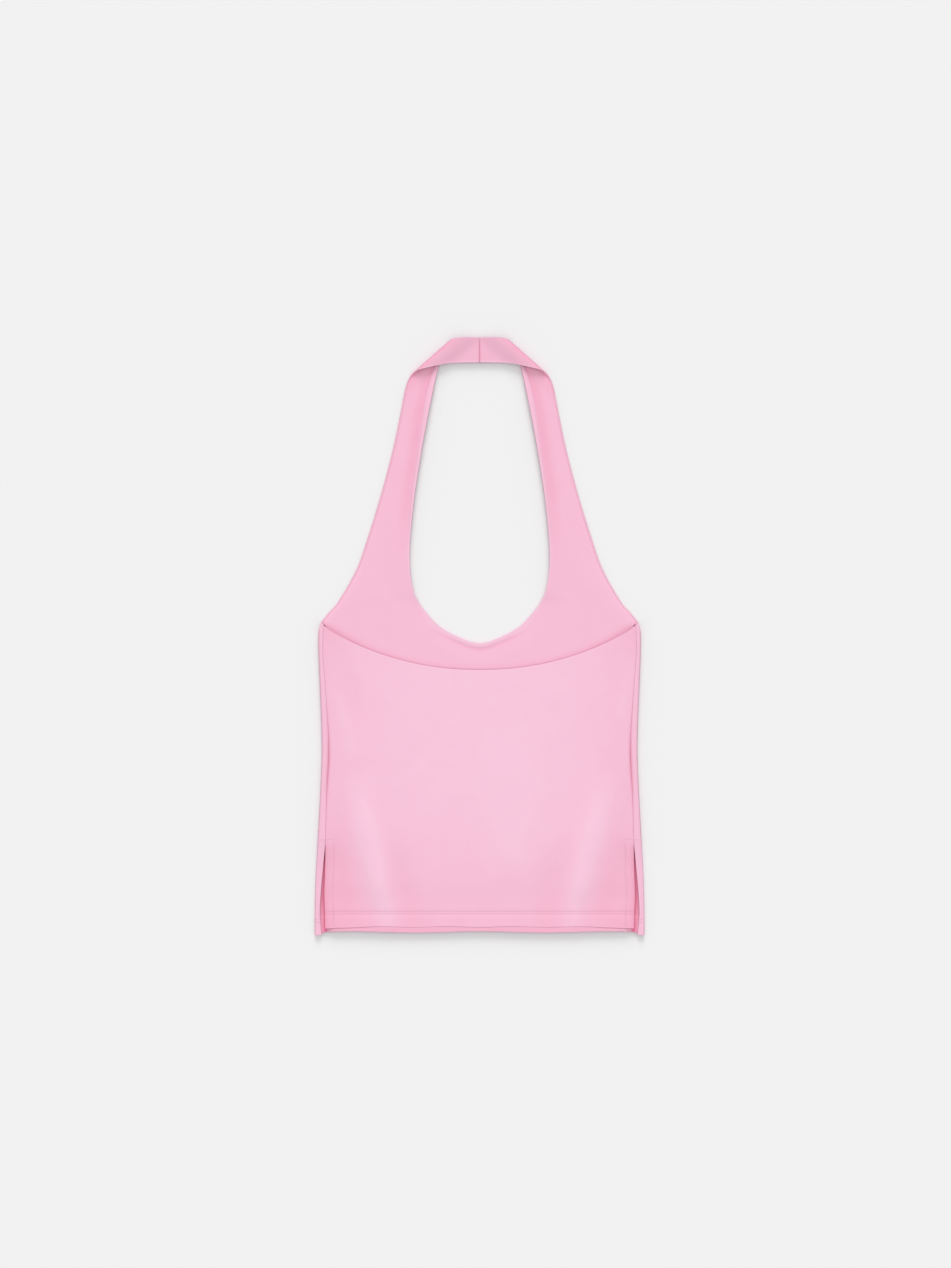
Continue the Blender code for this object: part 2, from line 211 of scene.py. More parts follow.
# Lines of stitching: how far the twin rows lie from their hem's edge, and the row beside each slit
BACK_HEM_ROWS = (14.7, 17.5)
FRONT_HEM_ROWS = (11.0, 14.6)
SLIT_ROW_SHARE = 0.9445  # of the back's half width
UNDER_ROW_END = 166.0  # the front's rows on its underside end this far from the middle
TACK_Y = -227.0  # the row across the top of each slit
TACK_SLANT = 1.8
TACK_START_X, TACK_END_X = 163.2, 180.2
TACK_STEP_X = 173.0  # from here the row lies on the turned side
SUNK = 0.1  # how far a thread's path lies in the cloth
UP = np.array((0.0, 0.0, 1.0))

EDGE_STEPS = np.array((0.0, 0.06, 0.22, 0.5, 1.0))  # of an edge's radius, from the edge inwards
SEAM_ROUND = 0.15  # the radius of the cloth's edges in a seam
SLIT_ROUND = 0.3  # and at a slit
HEM_ROUND = 0.35
BACK_HEM_ROUND = 0.2
TOP_ROUND = 0.65  # at the turned side's top


# ---- settings that a user would change


class ClothSettings(bpy.types.PropertyGroup):
    wall: FloatProperty(
        name="Cloth wall", description="Thickness of one layer of the outer jersey",
        default=0.9 * MM, unit="LENGTH",
    )
    hemmed: FloatProperty(
        name="Hemmed wall",
        description="Its thickness where it is turned up and stitched",
        default=1.4 * MM, unit="LENGTH",
    )
    rolled: FloatProperty(
        name="Rolled edge",
        description="Its thickness where it rolls round the neck seam",
        default=2.6 * MM, unit="LENGTH",
    )
    lip: FloatProperty(
        name="Armhole lip", description="Thickness of the rolled armhole edge",
        default=1.8 * MM, unit="LENGTH",
    )
    lining: FloatProperty(
        name="Lining wall", description="Thickness of the lining", default=0.8 * MM, unit="LENGTH",
    )
    fineness: IntProperty(
        name="Fineness", description="Rows of faces for each row of the packed part",
        default=4, min=1, max=6,
    )
    outer_colour: FloatVectorProperty(
        name="Outer jersey", description="Colour of the outer jersey", subtype="COLOR",
        default=(0.945, 0.580, 0.728),
    )
    # the lining is the same jersey as the outer, set a little deeper as painted shade
    lining_shaded_colour: FloatVectorProperty(
        name="Lining jersey", description="Colour of the lining", subtype="COLOR",
        default=(0.945, 0.545, 0.695),
    )
    thread_colour: FloatVectorProperty(
        name="Thread", description="Colour of the sewing thread", subtype="COLOR",
        default=(0.84, 0.42, 0.58),
    )


class StageSettings(bpy.types.PropertyGroup):
    floor_colour: FloatVectorProperty(
        name="Floor", description="Colour of the floor", subtype="COLOR",
        default=(0.885, 0.885, 0.885),
    )
    sky: FloatProperty(
        name="Sky light", description="Strength of the even light from all round", default=0.78,
    )
    window: FloatProperty(
        name="Window light", description="Strength of the soft light from beyond the neck",
        default=1.85,
    )
    window_height: FloatProperty(
        name="Window height", description="How steeply that light comes down",
        default=math.radians(22.0), unit="ROTATION",
    )
    window_spread: FloatProperty(
        name="Window spread", description="The angle over which it comes",
        default=math.radians(26.0), unit="ROTATION",
    )
    camera_height: FloatProperty(
        name="Camera height", description="Height of the camera over the table", default=3.368,
        unit="LENGTH",
    )


# ---- formulas


def eased(share):
    """0 to 1, starting and ending gently."""
    share = np.clip(share, 0.0, 1.0)
    return share * share * (3.0 - 2.0 * share)


def faded(share):
    """1 to 0, starting and ending gently."""
    return 1.0 - eased(share)


def bell(away, width):
    """e to the power of minus the square of away over width."""
    return np.exp(-((away / width) ** 2))


def stacked(*axes):
    """Points from coordinates that are numbers or arrays."""
    return np.stack(np.broadcast_arrays(*axes), axis=-1)


def smooth(knots, values, at, corner=None):
    """A cubic through the values at the knots: between two an eased blend of their values, plus each end's
    slope times a bump. A slope is the mean of the rises beside it, or its own side's at an end or corner."""
    knots = np.asarray(knots, float)
    values = np.asarray(values, float)
    flat = values.reshape(len(values), -1)
    spans = np.diff(knots)[:, None]
    rises = np.diff(flat, axis=0) / spans
    mean = (rises[:-1] + rises[1:]) / 2.0
    start = np.concatenate([rises[:1], mean])
    end = np.concatenate([mean, rises[-1:]])
    if corner is not None:
        start[corner] = rises[corner]
        end[corner - 1] = rises[corner - 1]
    at = np.asarray(at, float)
    i = np.clip(np.searchsorted(knots, at, side="right") - 1, 0, len(spans) - 1)
    t = ((at - knots[i]) / spans[i, 0])[..., None]
    ease = eased(t)
    level = flat[i] * (1.0 - ease) + flat[i + 1] * ease
    found = level + (start[i] * (1.0 - t) - end[i] * t) * (spans[i] * t * (1.0 - t))
    return found.reshape(at.shape + values.shape[1:])


def side_at(height):
    """The body's side at many heights, as (half_width, flap, back_edge)."""
    table = np.array(SIDES)
    at = np.clip(height, table[0, 0], table[-1, 0])
    return np.moveaxis(smooth(table[:, 0], table[:, 1:], at, SLIT_TOP), -1, 0)


def back_edge_at(height):
    """How far the back's edges lie from the middle."""
    half_width, _, back_edge = side_at(height)
    return half_width - back_edge


def beside_slit(height):
    """1 beside the slit, and 0 above it."""
    return faded((height - SLIT_TOP_Y) / SLIT_END)


def turn_radius(height):
    """The radius of the front's turned side: less below the slit's top."""
    below = eased((SLIT_TOP_Y + SLIT_EASING / 3.0 - height) / SLIT_EASING)
    return TURN_RADIUS + (SLIT_RADIUS - TURN_RADIUS) * below


def unfolded(points):
    """Where points of the folded strap end lie in the flat cut: mirrored in the fold, plus its turn."""
    inside = -(points - FOLD_START) @ FOLD_OUT
    return points + FOLD_OUT * (2.0 * inside + math.pi * FOLD_RADIUS)[:, None]


def laid(flat, inside, held=0.0):
    """Points of the flat cut as they lie, at a distance inside the front's outer face: flat, then round half
    a cylinder at the fold, then back over the strap, sagging as a half cosine by all but held of it."""
    past = np.maximum((flat - FOLD_START) @ FOLD_OUT, 0.0)
    turn = np.minimum(past / FOLD_RADIUS, math.pi)
    beyond = past - turn * FOLD_RADIUS
    sinking = math.pi * np.minimum(beyond / BAND_SAG_REACH, 1.0)
    deepest = BAND_SAG * (1.0 - held)
    sag = deepest * (1.0 - np.cos(sinking)) / 2.0
    fall = deepest * np.sin(sinking) * math.pi / (2.0 * BAND_SAG_REACH)
    turned = turn + np.arctan(fall)
    back = past + beyond - FOLD_RADIUS * np.sin(turn) + inside * np.sin(turned)
    height = FOLD_RADIUS * (1.0 - np.cos(turn)) - sag + inside * np.cos(turned)
    return np.concatenate([flat - FOLD_OUT * back[..., None], height[..., None]], axis=-1)


def roundness(away, radius):
    """How far a wall closes to its middle near an edge: from 1 to 0 at the radius, on a quarter circle."""
    share = np.clip(1.0 - away / radius, 0.0, 1.0)
    return 1.0 - np.sqrt(1.0 - share * share)


def either(*closings):
    """Several closings of one wall, together."""
    open_share = 1.0
    for closing in closings:
        open_share = open_share * (1.0 - closing)
    return 1.0 - open_share


def spread(start, end, count):
    """count + 1 even steps from start to end, a row for each of their values."""
    start, end = np.broadcast_arrays(np.asarray(start, float), np.asarray(end, float))
    return start[..., None] + (end - start)[..., None] * np.linspace(0.0, 1.0, count + 1)


# ---- patches and meshes

# A patch is a grid of points, their places in the flat cut and their painted shade, from 0 for the cloth's
# own colour to 1 for its deepest painted shade. flipped turns its faces over.
Patch = namedtuple("Patch", "points cut shade flipped")


def both_halves(patches):
    """The patches, and the same ones mirrored across the middle."""
    over = np.array((-1.0, 1.0, 1.0))
    others = [Patch(p.points * over, p.cut * over[:2], p.shade, not p.flipped) for p in patches]
    return patches + others


def quads(shape, flipped):
    """The corner numbers of the faces between the rows and columns of a grid."""
    corner = np.arange(shape[0] * shape[1]).reshape(shape)
    faces = np.stack([corner[:-1, :-1], corner[:-1, 1:], corner[1:, 1:], corner[1:, :-1]], axis=-1)
    faces = faces.reshape(-1, 4)
    return faces[:, ::-1] if flipped else faces


def mesh_piece(name, patches, material):
    """One object from patches, merged where they meet, with the flat cut as its UV map."""
    points, cuts, shades, faces = [], [], [], []
    count = 0
    for patch in patches:
        shape = patch.points.shape[:2]
        points.append(patch.points.reshape(-1, 3))
        cuts.append(patch.cut.reshape(-1, 2))
        shades.append(np.broadcast_to(patch.shade, shape).ravel())
        faces.append(quads(shape, patch.flipped) + count)
        count += shape[0] * shape[1]
    points, cuts, shades, faces = (np.concatenate(parts) for parts in (points, cuts, shades, faces))
    data = bpy.data.meshes.new(name)
    data.vertices.add(len(points))
    data.vertices.foreach_set("co", (points * MM).astype(np.float32).ravel())
    data.loops.add(faces.size)
    data.loops.foreach_set("vertex_index", faces.astype(np.int32).ravel())
    data.polygons.add(len(faces))
    data.polygons.foreach_set("loop_start", np.arange(0, faces.size, 4, dtype=np.int32))
    data.update(calc_edges=True)
    layer = data.uv_layers.new(name="cut")
    layer.data.foreach_set("uv", (cuts * MM)[faces.ravel()].astype(np.float32).ravel())
    # the painted shade goes on the mesh as a point attribute
    shade = data.attributes.new("shade", "FLOAT", "POINT")
    shade.data.foreach_set("value", np.clip(shades, 0.0, 1.0).astype(np.float32))
    welded = bmesh.new()
    welded.from_mesh(data)
    bmesh.ops.remove_doubles(welded, verts=welded.verts, dist=MERGE)
    bmesh.ops.dissolve_degenerate(welded, edges=welded.edges, dist=MERGE / 10.0)
    welded.to_mesh(data)
    welded.free()
    data.shade_smooth()
    data.materials.append(material)
    piece = bpy.data.objects.new(name, data)
    bpy.context.scene.collection.objects.link(piece)
    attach(piece, "root")
    return piece


def wall_patches(outer, inward, thickness, closing, cut, shades, flipped):
    """A wall's outer and inner face, each with its painted shade. Where closing is 1 they meet in its
    middle.
    """
    bite = (thickness * closing / 2.0)[..., None]
    inner = outer + inward * (thickness[..., None] - bite)
    return [Patch(outer + inward * bite, cut, shades[0], flipped), Patch(inner, cut, shades[1], not flipped)]


# ---- the bust and the straps


def strap_sections(fineness):
    """The sections from the centre front to the centre back neck seam, as arrays of neck ends, arm ends,
    roll widths, puffs and places: smooth curves through the table's columns."""
    first = SECTIONS[1]
    opposite = first._replace(neck_x=-first.neck_x, arm_x=-first.arm_x)
    table = np.array((opposite,) + SECTIONS, float)
    knots = np.arange(-1, len(SECTIONS))
    folded = knots >= FOLDED_FROM
    necks, arms = table[:, 0:2].copy(), table[:, 2:4].copy()
    necks[folded] = unfolded(necks[folded])
    arms[folded] = unfolded(arms[folded])
    counts = [section.rows * fineness for section in SECTIONS[:-1]]
    places = [i + np.arange(count) / count for i, count in enumerate(counts)]
    at = np.concatenate(places + [[LAST]])
    end_length = np.linalg.norm(necks[-1] - necks[-2])
    at = np.union1d(at, LAST - np.array((0.02, 0.1, 0.25, SEAM_ROUND, 1.2)) / end_length)
    corner = ARMPIT + 1
    neck, arm = smooth(knots, necks, at), smooth(knots, arms, at, corner)
    roll, puff = smooth(knots, table[:, 4], at), smooth(knots, table[:, 5], at)
    return neck, arm, roll, puff, at


def across(neck, arm, places):
    """Points at places along each section, from its neck end."""
    direction = arm - neck
    direction = direction / np.linalg.norm(direction, axis=1, keepdims=True)
    return neck[:, None] + direction[:, None] * places[..., None]


def seam_distance(flat, neck, arm, at):
    """How far points of the flat cut lie from the last section, the centre back neck seam."""
    line = arm[-1] - neck[-1]
    normal = np.array((line[1], -line[0])) / np.linalg.norm(line)
    away = np.abs((flat - neck[-1]) @ normal)
    return np.where(at[:, None] > LAST - 1.0, away, FAR)


def lift_at(at, along):
    """How far the front's outer face is off the table, at distances along each section."""
    rising = eased((at - LIFT_STARTS) / (LIFT_FULL - LIFT_STARTS))
    falling = eased((at - LIFT_FALLS) / (LIFT_ENDS - LIFT_FALLS))
    return (NECK_LIFT * rising * (1.0 - falling))[:, None] * faded(along / LIFT_REACH)


def sag_spared(along, length):
    """The share of the band's sag that points are spared, from its neck edge to its arm edge."""
    return BAND_TILT * faded(along / length[:, None])


def ribbon_shade(at, along, roll, length):
    """How deep the painted shade is along each section: bells for the trough and the crease beside the roll,
    the neck fold, the seam and the hollow over the scoop, eased from section to section, on top of an even
    deepening. length is the distance to the edge that shows."""
    at, roll, length = at[:, None], roll[:, None], length[:, None]
    strap = eased((at - 5.5) / 4.0)
    inside = along > roll
    trough = bell(along - roll - 4.0, 7.0) * inside
    folded = bell(at - 12.2, 0.4) * inside
    band = eased((at - 12.6) / 0.3)
    lip = eased((along - length + 2.4) / 0.8)
    seam = bell(LAST - at, 0.045)
    bust = faded((at - ARMPIT + 0.2) / 0.3)
    hollow = bell(length - along, 7.5) * bust * (0.085 + 0.09 * eased(at / 2.8))
    crease = bell(along - roll + 0.2, 2.0) * faded((at - 0.8) / 1.8)
    beside_roll = bell(along - roll - 0.4, 1.1) * eased((at - 9.5) / 1.5) * (1.0 - band)
    high = eased((at - 9.5) / 2.0)
    # painted shade on the straps: a little all over, more high up, in the trough and beside the roll
    strap_shade = strap * (1.0 - band) * (0.03 + 0.1 * high + (0.17 - 0.05 * high) * trough + 0.2 * beside_roll)
    # painted shade over the band, less on its lower lip and more at the centre back seam
    over = band * (0.15 - 0.15 * lip + 0.3 * seam)
    return 0.06 + strap_shade + 0.16 * folded + over + hollow + 0.16 * crease


def fold_shade(flat):
    """How much painted shade lies along the neck fold: a bell across it."""
    past = (flat - FOLD_START) @ FOLD_OUT
    return 0.2 * bell(past - 2.2 * FOLD_RADIUS, 3.4)


def lip_share(at):
    """How much of the rolled armhole edge a section has: none below the armpit."""
    return eased((at - ARMPIT) / 0.35)


def crease_share(at):
    """How deep the crease beside the rolled neck edge is: most on the straps, less in the middle of the
    neckline, and none in between."""
    neckline = NECKLINE_CREASE * faded((at - CREASE_FADES) / (CREASE_LOST - CREASE_FADES))
    return neckline + eased((at - CREASE_STARTS) / (CREASE_FULL - CREASE_STARTS))


def ribbon_patches(cloth):
    """The front's bust and strap: across each section a rolled neck edge, one layer and the armhole lip."""
    wall, rolled, lip = cloth.wall / MM, cloth.rolled / MM, cloth.lip / MM
    neck, arm, roll, _, at = strap_sections(cloth.fineness)
    length = np.linalg.norm(arm - neck, axis=1)
    in_band = eased((at - BAND_STARTS) / BAND_EASING)[:, None]
    neck_round, arm_round = 0.18 * rolled, 0.5 * lip - 0.25 * lip * in_band
    roll_end, lip_start = roll - ROLL_UNDER, length - ARMHOLE_LIP
    places = np.concatenate(
        [
            np.broadcast_to(EDGE_STEPS * neck_round, (len(at), len(EDGE_STEPS))),
            spread(neck_round + 0.12, roll_end - 0.06, 8),
            roll_end[:, None] + np.array((0.0, 0.1, 0.2)),
            spread(roll_end + 0.3, lip_start - 0.25, 24),
            lip_start[:, None] + np.array((0.0, 0.06)),
            length[:, None] - arm_round - 0.1,
            length[:, None] - EDGE_STEPS[::-1] * arm_round,
        ],
        axis=1,
    )
    flat = across(neck, arm, places)
    lipped = lip_share(at)[:, None]
    crease = crease_share(at)[:, None]
    roll_level = FLUSH_LEVEL + (rolled - FLUSH_LEVEL) * crease
    crease_level = FLUSH_LEVEL + (CREASE_LEVEL - FLUSH_LEVEL) * crease
    across_roll = places / roll[:, None]
    dome = roll_level - (roll_level - crease_level) * eased((across_roll - 0.5) / 0.5)
    on_roll = faded((places - roll_end[:, None]) / 0.3)
    from_arm = length[:, None] - places
    on_lip = lipped * faded((from_arm - ARMHOLE_LIP) / 0.25)
    thickness = wall + (dome - wall) * on_roll + (lip - wall) * on_lip
    corner = arm[np.searchsorted(at, ARMPIT)]
    from_corner = np.linalg.norm(flat - corner, axis=-1)
    from_edge = np.where(at[:, None] >= ARMPIT, from_arm, from_corner)
    closing = either(
        roundness(places, neck_round),
        roundness(from_edge, arm_round),
        roundness(seam_distance(flat, neck, arm, at), SEAM_ROUND),
    )
    bite = thickness * closing / 2.0
    lift, held = lift_at(at, places), sag_spared(places, length)
    outer, inner = laid(flat, lift + bite, held), laid(flat, lift + thickness - bite, held)
    # painted shade along the straps' outer edges, and the sections' painted shade
    lip_shade = LIP_SHADE * lipped * bell(from_arm, 1.1) * (1.0 - in_band)
    shade = ribbon_shade(at, places, roll, length) + fold_shade(flat) + lip_shade
    return [Patch(outer, flat, shade, True), Patch(inner, flat, shade, False)], arm[at <= ARMPIT]


def body_patches(cloth, ends):
    """The front below the bust: columns that start at the ribbon's ends, go round the side's half circle and
    stop at the flap's edge, and rows from the hem up."""
    wall, hemmed = cloth.wall / MM, cloth.hemmed / MM
    turns = np.linspace(0.0, math.pi, 11)[1:]
    flap_steps = np.concatenate([np.linspace(0.0, 0.8, 4)[1:], 1.0 - 0.2 * EDGE_STEPS[::-1][1:]])
    half_width, flap, _ = side_at(ends[:, 1])
    share = ends[:, 0] / (half_width - TURN_RADIUS)
    columns = len(turns) + len(flap_steps)
    share = np.concatenate([share, np.ones(columns)])
    turn = np.concatenate([np.zeros(len(ends)), turns, np.full(len(flap_steps), math.pi)])
    along = np.concatenate([np.zeros(len(ends) + len(turns)), flap_steps])
    dip = (ARMPIT_Y - SIDE_TOP_Y) * np.sin(turn) + (ARMPIT_Y - SEAM_TOP_Y) * along
    top = np.concatenate([ends[:, 1], np.full(columns, ARMPIT_Y)]) - dip
    slope = (ARMPIT_Y - SIDE_TOP_Y) / TURN_RADIUS * np.cos(turn)
    steep = np.where(turn > 0.0, np.where(along > 0.0, 1.2, np.sqrt(1.0 + slope**2)), 1.0)[:, None]
    drop = CORNER_DROP * eased((share - CORNER_SHARE) / (1.0 - CORNER_SHARE))
    wave = np.cos(2.0 * math.pi * share * (SIDES[0].half_width - TURN_RADIUS) / HEM_WAVE_LENGTH)
    hem = HEM_Y - drop + HEM_WAVE * wave * faded((share - 0.86) / 0.1)
    bottom = SIDES[0].half_width - SIDES[0].back_edge
    over = back_hem(np.minimum(share * (SIDES[0].half_width - TURN_RADIUS) / bottom, 1.0), bottom)
    rows = [
        hem[:, None] + EDGE_STEPS * HEM_ROUND,
        spread(hem + 0.45, over - 0.9, 5),
        over[:, None] + np.array((-0.5, -0.25, -0.14, -0.08, -0.02, 0.03, 0.09, 0.4)),
        hem[:, None] + np.array((9.5, 10.4, 11.0, 11.6, 12.8, 14.0, 14.6, 15.2, HEM_DEPTH - 0.3)),
        spread(hem + HEM_DEPTH + 0.3, SLIT_TOP_Y, 20),
        spread(SLIT_TOP_Y, top - 4.0 * steep[:, 0], 18 * cloth.fineness)[:, 1:],
        top[:, None] - np.array((2.6, 1.9, 1.4, 1.0)) * steep,
        top[:, None] - EDGE_STEPS[::-1] * TOP_ROUND * steep,
    ]
    height = np.concatenate(rows, axis=1)
    half_width, flap, back_edge = side_at(height)
    radius = turn_radius(height)
    start = half_width - radius
    turn, along, share, from_hem = turn[:, None], along[:, None], share[:, None], height - hem[:, None]
    below_slit_top = beside_slit(height)
    reach = flap - radius + SEAM_CLOSED * (1.0 - below_slit_top)
    x = share * start + radius * np.sin(turn) - along * reach
    under_fold = UNDER_FOLD * np.maximum(fold_height(x, height), 0.0) * (turn == 0.0)
    z = radius * (1.0 - np.cos(turn)) + curl_at(share * start, height) + under_fold
    outer = stacked(x, height, z)
    inward = stacked(-np.sin(turn), 0.0, np.cos(turn))
    cut = stacked(share * start + radius * turn + along * reach, height)
    on_hem = faded((from_hem - HEM_DEPTH + 0.3) / 0.6)
    from_flap = (1.0 - along) * reach + np.where(along > 0.0, 0.0, 9.0)
    turned = below_slit_top * eased(along * 4.0)
    from_top = (top[:, None] - height) / steep
    at_corner = np.linalg.norm(outer[..., :2] - ends[-1], axis=-1)
    from_edge = np.where(turn > 0.0, from_top, at_corner)
    lipped = np.where(turn > 0.0, np.sin(np.minimum(turn, 1.2)), 0.0)
    on_lip = lipped * faded((from_top - 1.3) / 0.6)
    back_x = half_width - back_edge
    below_back = eased((back_hem(np.minimum(x / back_x, 1.0), back_x) - height + 0.08) / 0.2)
    strip = STRIP_ROLL * below_back * faded((x - STRIP_ROLL_END) / 8.0) * (turn == 0.0)
    thickness = wall + (hemmed - wall) * np.maximum(on_hem, turned) + strip + 0.4 * on_lip
    flap_round = SEAM_ROUND + (SLIT_ROUND - SEAM_ROUND) * below_slit_top
    closing = either(
        roundness(from_hem, HEM_ROUND),
        roundness(from_edge, TOP_ROUND),
        np.where(along > 0.0, roundness(from_flap, flap_round), 0.0),
    )
    seam_dip = seam_depth(height, from_flap) * (1.0 - below_slit_top) * (along > 0.0)
    outer = outer + inward * seam_dip[..., None]
    # painted shade in the side seam's groove and on the turned sides
    seam_shade = SEAM_SHADE * seam_dip / (SEAM_DIP + SEAM_DEEPER)
    outer_shade = FLAP_SHADE * (turn > 0.0) + seam_shade
    # inside, painted shade in the slits, deepest beside the back's edge, and on the hem's strip below the
    # back
    out_of_back = x - back_x
    in_slit = below_slit_top * eased((out_of_back + 6.0) / 5.0) * (1.0 - 0.6 * eased(out_of_back / 4.5))
    inner_shade = np.maximum(SLIT_SHADE * in_slit, STRIP_SHADE * faded((from_hem - 7.0) / 3.0))
    return wall_patches(outer, inward, thickness, closing, cut, (outer_shade, inner_shade), False)


def lining_patches(cloth):
    """The lining: between the rolled edges, raised a little in between, and down under the back panel."""
    wall, lining = cloth.wall / MM, cloth.lining / MM
    neck, arm, roll, puff, at = strap_sections(cloth.fineness)
    on_strap = at >= ARMPIT
    shown = np.linalg.norm(arm - neck, axis=1)
    length = np.where(on_strap, shown, shown + LINING_TAIL)
    start = roll - ROLL_UNDER
    end = np.where(on_strap, length - ARMHOLE_LIP - 0.1, length)
    edge = lining / 2.0
    crease = crease_share(at)[:, None]
    tail_steps = np.array((0.0, 2.4, 3.6, 4.8, 6.0, 7.2, 8.4, 10.8, 13.8, 17.2))
    places = np.concatenate(
        [
            start[:, None] + EDGE_STEPS * edge,
            start[:, None] + np.array((0.8, 1.3, 2.0)),
            spread(start + 3.0, shown - 5.6, 20),
            (shown - 4.8)[:, None] + tail_steps * np.where(on_strap, 0.017, 1.0)[:, None],
            end[:, None] - np.array((2.0, 1.3, 0.8)),
            end[:, None] - EDGE_STEPS[::-1] * edge,
        ],
        axis=1,
    )
    flat = across(neck, arm, np.minimum(places, shown[:, None]))
    flat[..., 1] -= np.maximum(places - shown[:, None], 0.0)
    from_start, from_end = places - start[:, None], end[:, None] - places
    at_crease = FLUSH_LEVEL + (CREASE_LEVEL - FLUSH_LEVEL) * crease
    in_middle = CREASE_LEVEL + LINING_RISE
    level = at_crease + (in_middle - at_crease) * eased(from_start / LINING_RISE_REACH)
    at_lip = wall + 0.05 + lining
    level = at_lip + (level - at_lip) * eased(from_end / 4.0)
    middle = np.sin(math.pi * np.clip(places / length[:, None], 0.0, 1.0) ** 1.3)
    under_back = (shown + 1.2)[:, None] - places
    dipping = (1.0 - 0.6 * eased(at / 2.0)) * (1.0 - lip_share(at + 0.2))
    dip = LINING_DIP * bell(under_back, LINING_DIP_WIDTH) * dipping[:, None]
    low = level - lining - dip + puff[:, None] * middle + lift_at(at, places)
    at_seam = roundness(seam_distance(flat, neck, arm, at), SEAM_ROUND)
    rounded = either(roundness(from_end, 0.6 * edge), at_seam)
    bite = lining * rounded / 2.0
    undercut = (lining - 2.0 * bite) * roundness(from_start, edge)
    held = sag_spared(places, length)
    under, over = laid(flat, low + bite + undercut, held), laid(flat, low + lining - bite, held)
    shade = ribbon_shade(at, places, roll, shown) + fold_shade(flat)
    return [Patch(under, flat, shade, True), Patch(over, flat, shade, False)]


# ---- the back panel


def fold_height(x, y):
    """How far the soft folds lift the back panel: each a bell across its line, fading at its two ends."""
    total = np.zeros(np.broadcast(x, y).shape)
    for fold in FOLDS:
        line = np.array((fold.end_x - fold.start_x, fold.end_y - fold.start_y))
        along = ((x - fold.start_x) * line[0] + (y - fold.start_y) * line[1]) / (line @ line)
        on_line = np.clip(along, 0.0, 1.0)
        away_x, away_y = x - fold.start_x - line[0] * on_line, y - fold.start_y - line[1] * on_line
        across_line = np.exp(-(away_x**2 + away_y**2) / fold.width**2)
        total += fold.height * across_line * eased(np.minimum(2.2 * along, 4.5 - 4.0 * along))
    return total


def back_top(share):
    """The height of the back's scooped top: a power of the share of its half width, and a much higher power
    that turns up its ends."""
    share = np.abs(share)
    return BACK_TOP_Y + SCOOP_RISE * share**SCOOP_POWER + SCOOP_CORNER * share**SCOOP_CORNER_POWER


def curl_at(x, y):
    """How far the hems curl up off the table."""
    aside = np.clip(np.abs(x) / (SIDES[0].half_width - TURN_RADIUS), 0.0, 1.0)
    return HEM_CURL * (1.0 - aside**CURL_POWER) * faded((y - HEM_Y) / CURL_REACH)


def back_hem(share, edge_x):
    """The height of the back's hem edge: a small wave, and a drop towards the slits."""
    away = 2.0 * math.pi * np.abs(share) * edge_x / BACK_HEM_WAVE_LENGTH
    return BACK_HEM_Y - BACK_HEM_WAVE * np.cos(away) - BACK_CORNER_DROP * np.abs(share) ** 8


def rim_level(share, y):
    """The height of the back's rim: eased from the hem's to the scoop's, and up to the sides."""
    scooped = eased((y - HEM_SIDE_Y) / (SCOOP_SIDE_Y - HEM_SIDE_Y))
    middle = BACK_HEM_LEVEL + (BACK_SCOOP_LEVEL - BACK_HEM_LEVEL) * scooped
    return middle + (2.0 * turn_radius(y) - middle) * share**4


def seam_depth(height, away):
    """How deep the side seam sinks in: a bell across it, and another up its height."""
    depth = SEAM_DIP + SEAM_DEEPER * bell(height - SEAM_DEEPEST_Y, SEAM_DEEP_REACH)
    return depth * bell(away, SEAM_WIDTH)


def back_level(x, y):
    """The height of the back panel's outer face: its middle with the folds, blended into its rim."""
    edge_x = back_edge_at(y)
    share = np.clip(x / edge_x, -1.0, 1.0)
    from_hem = y - BACK_HEM_Y
    inside = 1.0
    for to_edge in (edge_x - np.abs(x), from_hem, back_top(share) - y):
        inside = inside * eased(to_edge / RIM_WIDTH)
    middle = np.maximum(BACK_LEVEL + fold_height(x, y), BACK_LOWEST)
    contact = HEM_CONTACT * bell(np.abs(x) - HEM_CONTACT_X, HEM_CONTACT_WIDTH)
    rim = rim_level(share, y) - contact * faded(from_hem / HEM_CONTACT_REACH)
    return rim + (middle - rim) * inside + curl_at(x, y)


def back_shade(x, y, from_side):
    """How deep the back's painted shade is: more to the sides, hem, slits, seams and top corners, and less
    on the ridges.
    """
    to_side = np.abs(x) / 162.0
    to_hem = np.clip((-150.0 - y) / 176.0, 0.0, 1.0)
    slit = beside_slit(y)
    to_slit = slit * (0.045 * np.exp(-from_side / 20.0) + 0.24 * np.exp(-from_side / 2.5))
    seam = SEAM_SHADE * (1.0 - slit) * seam_depth(y, from_side) / (SEAM_DIP + SEAM_DEEPER)
    in_corner = 0.07 * np.exp(-((np.abs(x) - 175.0) ** 2 + (y - 5.0) ** 2) / 28.0**2)
    wide = 0.025 + 0.1 * to_side**3 + 0.16 * to_hem**1.5
    return wide + to_slit + seam + in_corner - 0.09 * fold_height(x, y)


